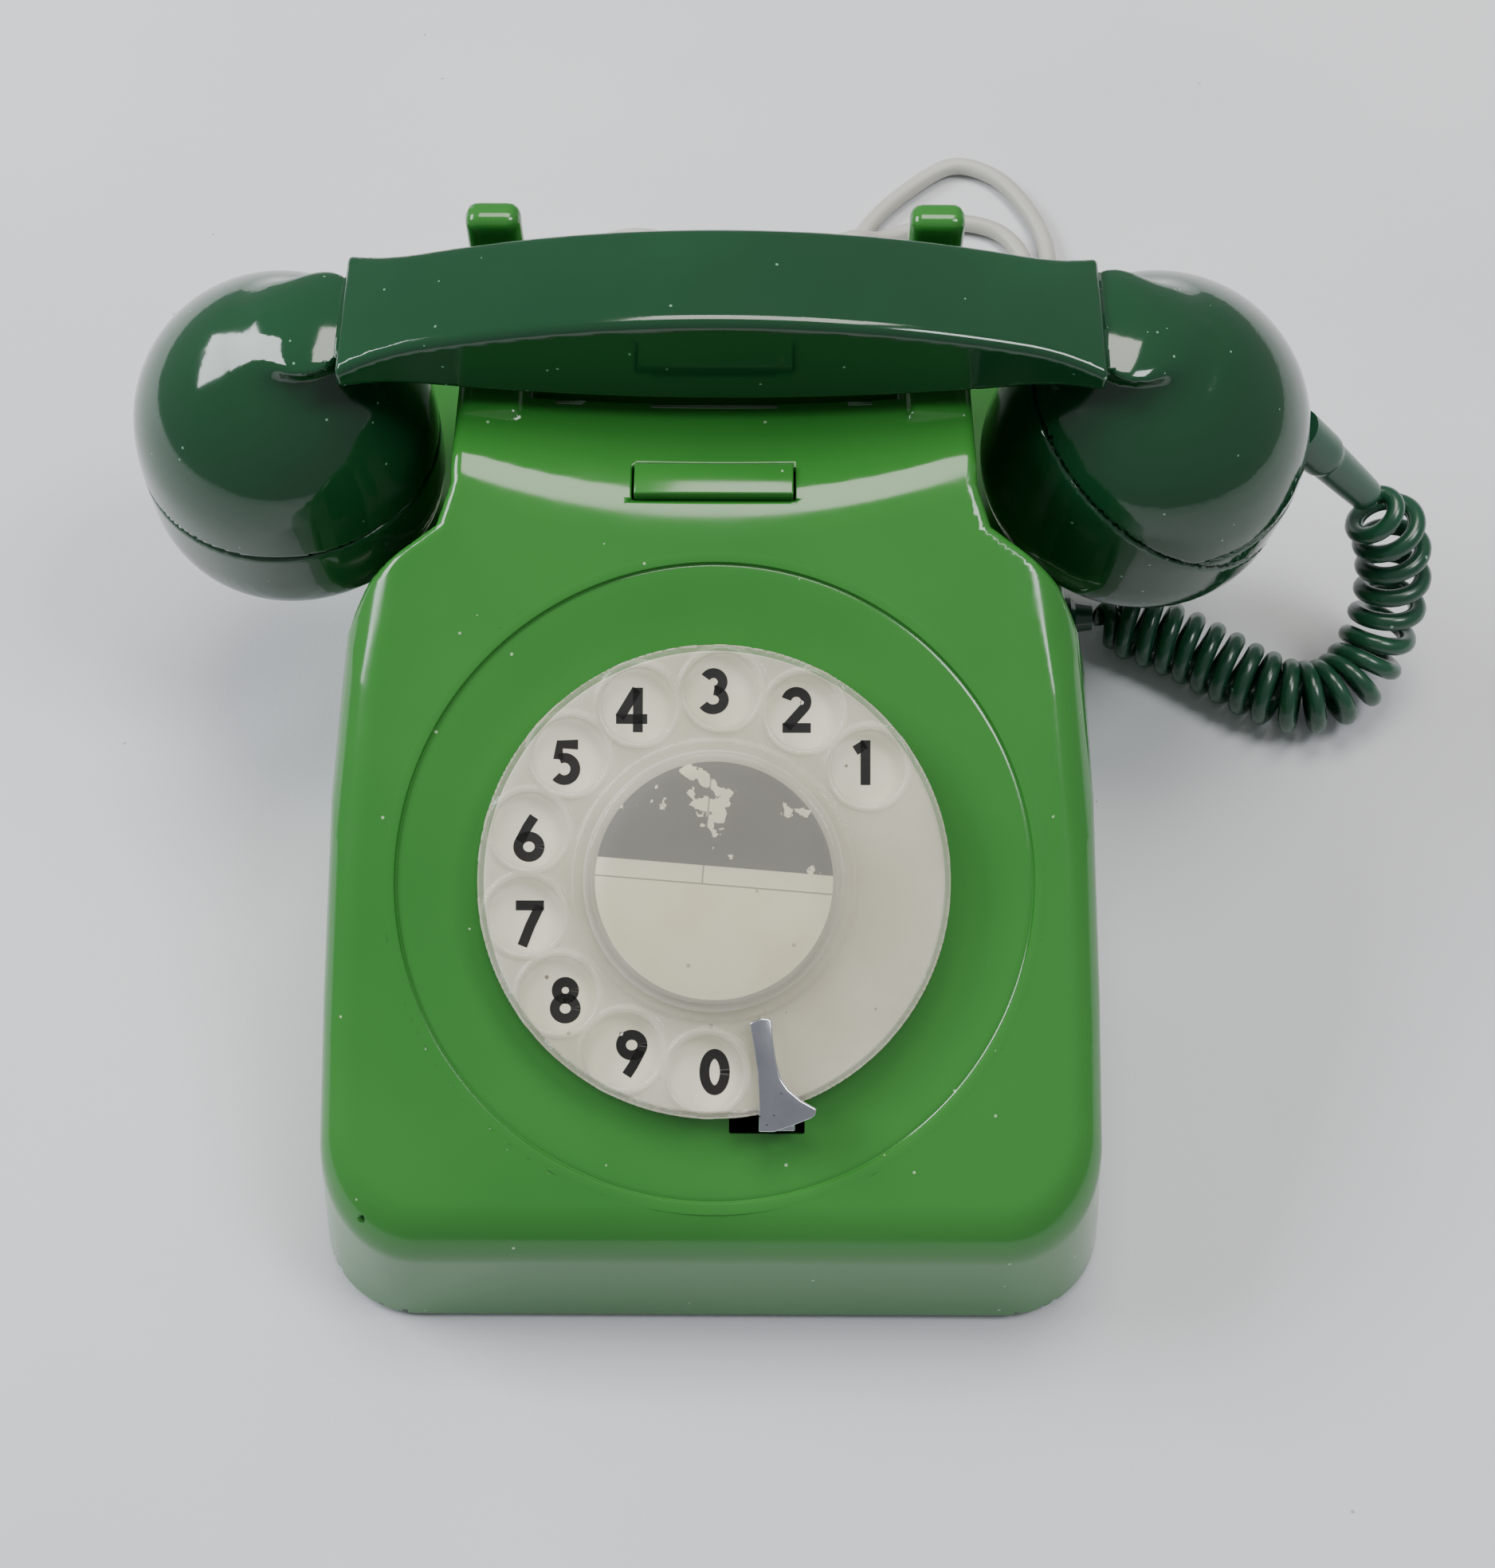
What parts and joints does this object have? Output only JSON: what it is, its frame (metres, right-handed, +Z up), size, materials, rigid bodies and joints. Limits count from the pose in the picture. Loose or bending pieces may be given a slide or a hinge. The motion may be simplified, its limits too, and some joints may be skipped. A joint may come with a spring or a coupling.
{
  "type": "rotary telephone",
  "caption": "Desk telephone with a rotary dial in a sloping case, a lift-off handset on a cradle, a coiled handset cord, a bell and a line cord.",
  "frame": {"origin": "on the surface the telephone stands on, under the middle of case and handset", "axes": "+Z up, front of the telephone towards -Y, +X to the right seen from the front"},
  "size_m": [0.2795, 0.3057, 0.1245],
  "materials": {
    "case_green": "gloss",
    "handset_green": "gloss",
    "cord_green": "satin",
    "cream_plastic": "satin",
    "clear_plastic": "polished",
    "label_card": "matt",
    "chrome": "polished",
    "steel": "satin",
    "brass": "satin",
    "black_plastic": "matt",
    "black_rubber": "matt",
    "copper_wire": "satin",
    "board_laminate": "matt",
    "white_cord": "satin"
  },
  "bodies": {
    "root": {"case_shell": "case_green", "button_blank": "case_green", "handset_cord_gland": "cord_green", "curly_cord": "cord_green", "dial_number_plate": "cream_plastic", "finger_stop": "chrome", "base_plate": "steel", "case_screw_left": "steel", "case_screw_right": "steel", "dial_frame": "steel", "dial_return_spring": "steel", "dial_bridge": "steel", "governor_cup": "steel", "dial_bracket": "steel", "bell_frame": "steel", "gong_post_left": "steel", "gong_post_right": "steel", "hook_lever_pin": "steel", "switch_bracket": "steel", "induction_coil_core": "steel", "capacitor": "steel", "impulse_contacts": "brass", "gong_left": "brass", "gong_right": "brass", "hook_switch_contacts": "brass", "line_regulator": "black_plastic", "terminal_strip": "black_plastic", "foot_1": "black_rubber", "foot_2": "black_rubber", "foot_3": "black_rubber", "foot_4": "black_rubber", "bell_coil_left": "copper_wire", "bell_coil_right": "copper_wire", "induction_coil_winding": "copper_wire", "circuit_board": "board_laminate", "line_cord_gland": "white_cord", "line_cord": "white_cord", "line_cord_coil": "white_cord", "line_plug": "white_cord"},
    "dial_rotor": {"finger_plate": "clear_plastic", "dial_main_shaft": "steel", "dial_label": "label_card", "dial_centre_cap": "clear_plastic", "dial_main_wheel": "brass"},
    "impulse_rotor": {"impulse_pinion": "brass", "impulse_shaft": "steel", "governor_drive_wheel": "brass", "impulse_cam": "black_plastic"},
    "governor_rotor": {"governor_shaft": "steel", "governor_weights": "brass"},
    "clapper": {"bell_clapper": "steel"},
    "plunger_left": {"cradle_plunger_left": "cream_plastic"},
    "plunger_right": {"cradle_plunger_right": "cream_plastic"},
    "hook_lever": {"hook_switch_lever": "steel"},
    "handset": {"handset_handle": "handset_green", "ear_cap": "handset_green", "mouth_cap": "handset_green", "receiver_capsule": "steel", "transmitter_capsule": "black_plastic", "handset_cord_boot": "cord_green"}
  },
  "joints": [
    {"name": "dial_turn", "type": "hinge", "parent": "root", "child": "dial_rotor", "pos_m": [0.0005, -0.0387, 0.0649], "axis": [0, 0.4226, -0.9063], "range_deg": [0, 330], "stiffness_Nm_per_rad": 0.01, "springref_deg": -34.38},
    {"name": "impulse_spin", "type": "hinge", "parent": "root", "child": "impulse_rotor", "pos_m": [-0.02666, -0.04132, 0.04713], "axis": [0, 0.4226, -0.9063], "range_deg": [-1650, 0]},
    {"name": "governor_spin", "type": "hinge", "parent": "root", "child": "governor_rotor", "pos_m": [-0.0369, -0.0447, 0.04555], "axis": [0.342, -0.8517, -0.3971], "range_deg": [0, 3300]},
    {"name": "clapper_swing", "type": "hinge", "parent": "root", "child": "clapper", "pos_m": [0, 0.042, 0.034], "axis": [0, 0, 1], "range_deg": [-3, 3], "stiffness_Nm_per_rad": 0.01},
    {"name": "handset_lift", "type": "slide", "parent": "root", "child": "handset", "axis": [0, 0, 1], "range_m": [0, 0.12]},
    {"name": "plunger_left_travel", "type": "slide", "parent": "root", "child": "plunger_left", "axis": [0, 0, 1], "range_m": [0, 0.006]},
    {"name": "plunger_right_travel", "type": "slide", "parent": "root", "child": "plunger_right", "axis": [0, 0, 1], "range_m": [0, 0.006]},
    {"name": "hook_lever_tilt", "type": "hinge", "parent": "root", "child": "hook_lever", "pos_m": [0, 0.038, 0.066], "axis": [1, 0, 0], "range_deg": [0, 14.4]}
  ],
  "couplings": [
    {"joint": "impulse_spin", "follows": "dial_turn", "ratio": -5},
    {"joint": "governor_spin", "follows": "dial_turn", "ratio": 10},
    {"joint": "plunger_left_travel", "follows": "handset_lift", "ratio": 0.05},
    {"joint": "plunger_right_travel", "follows": "handset_lift", "ratio": 0.05},
    {"joint": "hook_lever_tilt", "follows": "handset_lift", "rad_per_m": 2.083}
  ]
}
